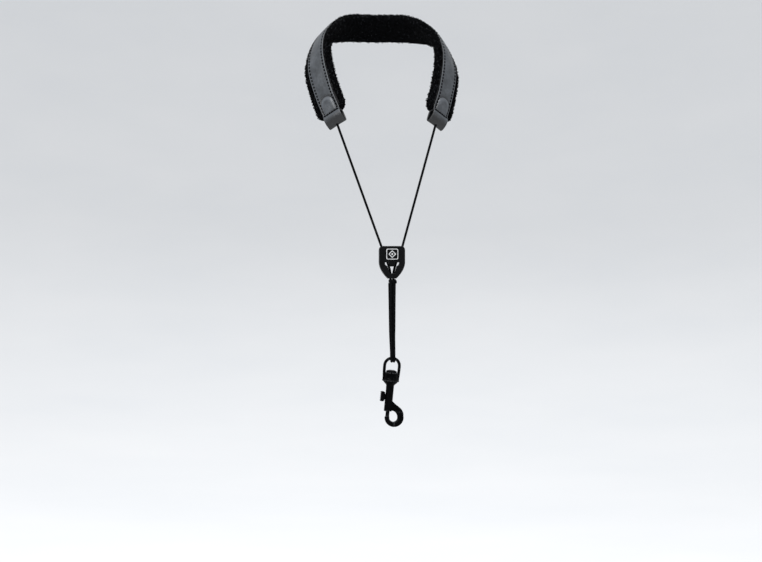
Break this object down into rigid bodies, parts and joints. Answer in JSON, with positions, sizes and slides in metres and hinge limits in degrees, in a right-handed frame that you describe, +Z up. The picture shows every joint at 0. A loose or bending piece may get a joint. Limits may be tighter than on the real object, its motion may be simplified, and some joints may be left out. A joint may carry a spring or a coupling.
{
  "type": "saxophone neck strap",
  "caption": "Padded leather neck band with a plush lining, two cords through a sliding adjuster, and a swivel snap hook that holds a saxophone.",
  "frame": {"origin": "middle of the lining's inner face at the nape of the neck", "axes": "+Z up, -Y towards the wearer's front, +X towards the wearer's left"},
  "size_m": [0.1614, 0.127, 0.4369],
  "materials": {
    "leather": "satin, fine grain, dark slate grey",
    "foam": "closed-cell foam",
    "fleece": "short curly plush pile",
    "cord": "satin braid",
    "adjuster_plastic": "gloss moulded",
    "badge": "gloss plate with a plain white geometric inlay",
    "hook_metal": "black coated, semi-gloss",
    "steel": "plain steel"
  },
  "bodies": {
    "band": {"band_leather": "leather", "band_foam": "foam", "band_fleece": "fleece", "end_tab_left": "leather", "end_tab_right": "leather", "stopper_knot_left": "cord", "stopper_knot_right": "cord", "cord_left": "cord", "cord_right": "cord"},
    "adjuster": {"adjuster_front": "adjuster_plastic", "adjuster_back": "adjuster_plastic", "adjuster_badge": "badge", "adjuster_screw_left": "steel", "adjuster_screw_right": "steel", "adjuster_cord_left": "cord", "adjuster_cord_right": "cord", "tie_knot": "cord"},
    "cord_loops": {"loop_left": "cord", "loop_right": "cord"},
    "eye": {"swivel_eye": "hook_metal"},
    "hook": {"swivel_rivet": "hook_metal", "hook_body": "hook_metal", "bolt_spring": "steel"},
    "bolt_slider": {"bolt": "hook_metal", "thumb_button": "hook_metal"}
  },
  "joints": [
    {"name": "adjuster_slide", "type": "slide", "parent": "band", "child": "adjuster", "axis": [0, 0, 1], "range_m": [-0.09, 0.06], "deforming": ["cord_left", "cord_right"]},
    {"name": "hook_drop", "type": "slide", "parent": "adjuster", "child": "cord_loops", "axis": [0, 0, 1], "range_m": [-0.0285, 0.04275], "deforming": ["loop_left", "loop_right"]},
    {"name": "eye_swing", "type": "hinge", "parent": "cord_loops", "child": "eye", "pos_m": [0.0064, -0.1, -0.3483], "axis": [1, 0, 0], "range_deg": [-60, 60]},
    {"name": "hook_swivel", "type": "hinge", "parent": "eye", "child": "hook", "pos_m": [0.0064, -0.1, -0.3483], "axis": [0.0958, 0, 0.9954], "continuous": true},
    {"name": "bolt_slide", "type": "slide", "parent": "hook", "child": "bolt_slider", "axis": [0.0958, 0, 0.9954], "range_m": [0, 0.0058], "stiffness_N_per_m": 250, "springref_m": -0.004, "deforming": ["bolt_spring"]}
  ],
  "couplings": [
    {"joint": "hook_drop", "follows": "adjuster_slide", "ratio": -0.475}
  ]
}
